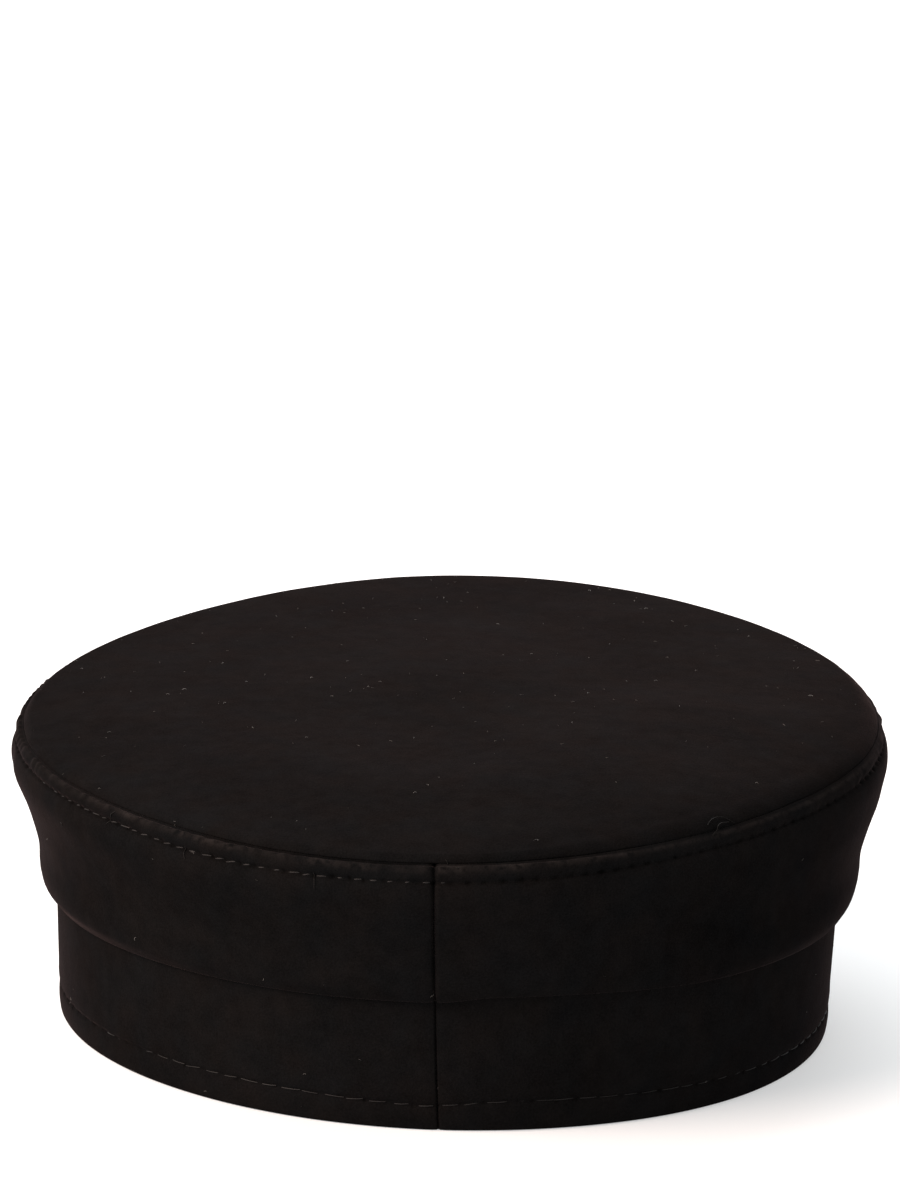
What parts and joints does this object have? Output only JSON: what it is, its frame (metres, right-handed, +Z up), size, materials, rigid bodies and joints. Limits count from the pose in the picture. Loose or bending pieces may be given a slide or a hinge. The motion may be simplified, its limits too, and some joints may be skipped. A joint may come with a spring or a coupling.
{
  "type": "baker boy hat",
  "caption": "Flat-topped cloth hat with a flared side wall, an upright head band and a peak at the front; it stands on its rim.",
  "frame": {"origin": "middle of the bounding box, at the height of the band's rim, on which the hat stands", "axes": "+Z up, -Y towards the peak, +Y towards the back seam, X across the head"},
  "size_m": [0.193, 0.2529, 0.076],
  "materials": {
    "tip_cloth": "matt brushed black cloth",
    "side_wall_cloth": "matt brushed black cloth",
    "band_cloth": "matt brushed black cloth",
    "peak_cloth": "matt brushed black cloth"
  },
  "bodies": {
    "root": {"tip": "tip_cloth", "side_wall": "side_wall_cloth", "band": "band_cloth", "peak_top": "peak_cloth", "peak_under": "peak_cloth"}
  },
  "joints": []
}
